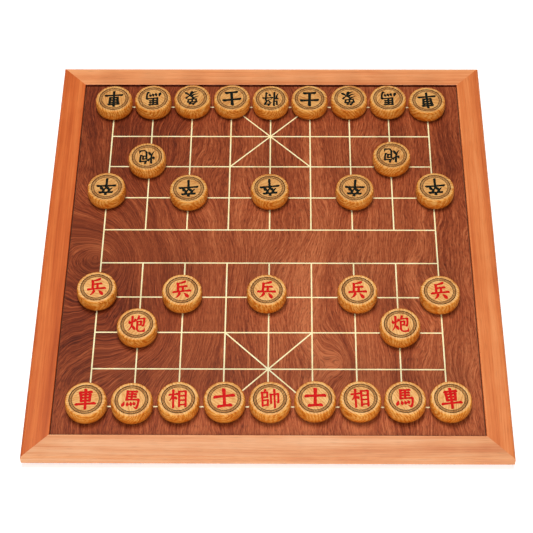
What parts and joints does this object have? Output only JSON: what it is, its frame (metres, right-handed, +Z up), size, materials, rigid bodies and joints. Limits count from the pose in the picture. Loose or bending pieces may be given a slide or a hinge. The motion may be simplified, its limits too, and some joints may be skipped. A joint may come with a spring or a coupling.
{
  "type": "xiangqi set",
  "caption": "Framed wooden xiangqi board with inlaid lines, and its round wooden men set out for play; each man lifts off.",
  "frame": {"origin": "middle of the board in plan, on the surface that its foot pads stand on", "axes": "+X to the near (red) player's right, +Y from the near player to the far one, +Z up"},
  "size_m": [0.5396, 0.5836, 0.0311],
  "materials": {
    "rail_wood": "satin lacquer",
    "panel_veneer": "satin lacquer",
    "line_inlay": "satin lacquer",
    "core_plywood": "raw, sanded",
    "backing_veneer": "matt",
    "spline_wood": "raw, sanded",
    "pad_felt": "felt",
    "man_wood": "satin lacquer"
  },
  "bodies": {
    "board": {"front_rail": "rail_wood", "back_rail": "rail_wood", "left_rail": "rail_wood", "right_rail": "rail_wood", "panel_core": "core_plywood", "face_veneer": "panel_veneer", "backing_veneer": "backing_veneer", "file_inlays": "line_inlay", "rank_inlays": "line_inlay", "palace_inlays": "line_inlay", "corner_spline_front_left": "spline_wood", "corner_spline_front_right": "spline_wood", "corner_spline_back_left": "spline_wood", "corner_spline_back_right": "spline_wood", "foot_pad_front_left": "pad_felt", "foot_pad_front_right": "pad_felt", "foot_pad_back_left": "pad_felt", "foot_pad_back_right": "pad_felt"},
    "black_chariot_left": {"black_chariot_left": "man_wood"},
    "black_horse_left": {"black_horse_left": "man_wood"},
    "black_elephant_left": {"black_elephant_left": "man_wood"},
    "black_advisor_left": {"black_advisor_left": "man_wood"},
    "black_general": {"black_general": "man_wood"},
    "black_advisor_right": {"black_advisor_right": "man_wood"},
    "black_elephant_right": {"black_elephant_right": "man_wood"},
    "black_horse_right": {"black_horse_right": "man_wood"},
    "black_chariot_right": {"black_chariot_right": "man_wood"},
    "black_cannon_left": {"black_cannon_left": "man_wood"},
    "black_cannon_right": {"black_cannon_right": "man_wood"},
    "black_soldier_1": {"black_soldier_1": "man_wood"},
    "black_soldier_2": {"black_soldier_2": "man_wood"},
    "black_soldier_3": {"black_soldier_3": "man_wood"},
    "black_soldier_4": {"black_soldier_4": "man_wood"},
    "black_soldier_5": {"black_soldier_5": "man_wood"},
    "red_soldier_1": {"red_soldier_1": "man_wood"},
    "red_soldier_2": {"red_soldier_2": "man_wood"},
    "red_soldier_3": {"red_soldier_3": "man_wood"},
    "red_soldier_4": {"red_soldier_4": "man_wood"},
    "red_soldier_5": {"red_soldier_5": "man_wood"},
    "red_cannon_left": {"red_cannon_left": "man_wood"},
    "red_cannon_right": {"red_cannon_right": "man_wood"},
    "red_chariot_left": {"red_chariot_left": "man_wood"},
    "red_horse_left": {"red_horse_left": "man_wood"},
    "red_minister_left": {"red_minister_left": "man_wood"},
    "red_advisor_left": {"red_advisor_left": "man_wood"},
    "red_general": {"red_general": "man_wood"},
    "red_advisor_right": {"red_advisor_right": "man_wood"},
    "red_minister_right": {"red_minister_right": "man_wood"},
    "red_horse_right": {"red_horse_right": "man_wood"},
    "red_chariot_right": {"red_chariot_right": "man_wood"}
  },
  "joints": [
    {"name": "black_chariot_left_lift", "type": "slide", "parent": "board", "child": "black_chariot_left", "axis": [0, 0, 1], "range_m": [0, 0.06]},
    {"name": "black_horse_left_lift", "type": "slide", "parent": "board", "child": "black_horse_left", "axis": [0, 0, 1], "range_m": [0, 0.06]},
    {"name": "black_elephant_left_lift", "type": "slide", "parent": "board", "child": "black_elephant_left", "axis": [0, 0, 1], "range_m": [0, 0.06]},
    {"name": "black_advisor_left_lift", "type": "slide", "parent": "board", "child": "black_advisor_left", "axis": [0, 0, 1], "range_m": [0, 0.06]},
    {"name": "black_general_lift", "type": "slide", "parent": "board", "child": "black_general", "axis": [0, 0, 1], "range_m": [0, 0.06]},
    {"name": "black_advisor_right_lift", "type": "slide", "parent": "board", "child": "black_advisor_right", "axis": [0, 0, 1], "range_m": [0, 0.06]},
    {"name": "black_elephant_right_lift", "type": "slide", "parent": "board", "child": "black_elephant_right", "axis": [0, 0, 1], "range_m": [0, 0.06]},
    {"name": "black_horse_right_lift", "type": "slide", "parent": "board", "child": "black_horse_right", "axis": [0, 0, 1], "range_m": [0, 0.06]},
    {"name": "black_chariot_right_lift", "type": "slide", "parent": "board", "child": "black_chariot_right", "axis": [0, 0, 1], "range_m": [0, 0.06]},
    {"name": "black_cannon_left_lift", "type": "slide", "parent": "board", "child": "black_cannon_left", "axis": [0, 0, 1], "range_m": [0, 0.06]},
    {"name": "black_cannon_right_lift", "type": "slide", "parent": "board", "child": "black_cannon_right", "axis": [0, 0, 1], "range_m": [0, 0.06]},
    {"name": "black_soldier_1_lift", "type": "slide", "parent": "board", "child": "black_soldier_1", "axis": [0, 0, 1], "range_m": [0, 0.06]},
    {"name": "black_soldier_2_lift", "type": "slide", "parent": "board", "child": "black_soldier_2", "axis": [0, 0, 1], "range_m": [0, 0.06]},
    {"name": "black_soldier_3_lift", "type": "slide", "parent": "board", "child": "black_soldier_3", "axis": [0, 0, 1], "range_m": [0, 0.06]},
    {"name": "black_soldier_4_lift", "type": "slide", "parent": "board", "child": "black_soldier_4", "axis": [0, 0, 1], "range_m": [0, 0.06]},
    {"name": "black_soldier_5_lift", "type": "slide", "parent": "board", "child": "black_soldier_5", "axis": [0, 0, 1], "range_m": [0, 0.06]},
    {"name": "red_soldier_1_lift", "type": "slide", "parent": "board", "child": "red_soldier_1", "axis": [0, 0, 1], "range_m": [0, 0.06]},
    {"name": "red_soldier_2_lift", "type": "slide", "parent": "board", "child": "red_soldier_2", "axis": [0, 0, 1], "range_m": [0, 0.06]},
    {"name": "red_soldier_3_lift", "type": "slide", "parent": "board", "child": "red_soldier_3", "axis": [0, 0, 1], "range_m": [0, 0.06]},
    {"name": "red_soldier_4_lift", "type": "slide", "parent": "board", "child": "red_soldier_4", "axis": [0, 0, 1], "range_m": [0, 0.06]},
    {"name": "red_soldier_5_lift", "type": "slide", "parent": "board", "child": "red_soldier_5", "axis": [0, 0, 1], "range_m": [0, 0.06]},
    {"name": "red_cannon_left_lift", "type": "slide", "parent": "board", "child": "red_cannon_left", "axis": [0, 0, 1], "range_m": [0, 0.06]},
    {"name": "red_cannon_right_lift", "type": "slide", "parent": "board", "child": "red_cannon_right", "axis": [0, 0, 1], "range_m": [0, 0.06]},
    {"name": "red_chariot_left_lift", "type": "slide", "parent": "board", "child": "red_chariot_left", "axis": [0, 0, 1], "range_m": [0, 0.06]},
    {"name": "red_horse_left_lift", "type": "slide", "parent": "board", "child": "red_horse_left", "axis": [0, 0, 1], "range_m": [0, 0.06]},
    {"name": "red_minister_left_lift", "type": "slide", "parent": "board", "child": "red_minister_left", "axis": [0, 0, 1], "range_m": [0, 0.06]},
    {"name": "red_advisor_left_lift", "type": "slide", "parent": "board", "child": "red_advisor_left", "axis": [0, 0, 1], "range_m": [0, 0.06]},
    {"name": "red_general_lift", "type": "slide", "parent": "board", "child": "red_general", "axis": [0, 0, 1], "range_m": [0, 0.06]},
    {"name": "red_advisor_right_lift", "type": "slide", "parent": "board", "child": "red_advisor_right", "axis": [0, 0, 1], "range_m": [0, 0.06]},
    {"name": "red_minister_right_lift", "type": "slide", "parent": "board", "child": "red_minister_right", "axis": [0, 0, 1], "range_m": [0, 0.06]},
    {"name": "red_horse_right_lift", "type": "slide", "parent": "board", "child": "red_horse_right", "axis": [0, 0, 1], "range_m": [0, 0.06]},
    {"name": "red_chariot_right_lift", "type": "slide", "parent": "board", "child": "red_chariot_right", "axis": [0, 0, 1], "range_m": [0, 0.06]}
  ]
}
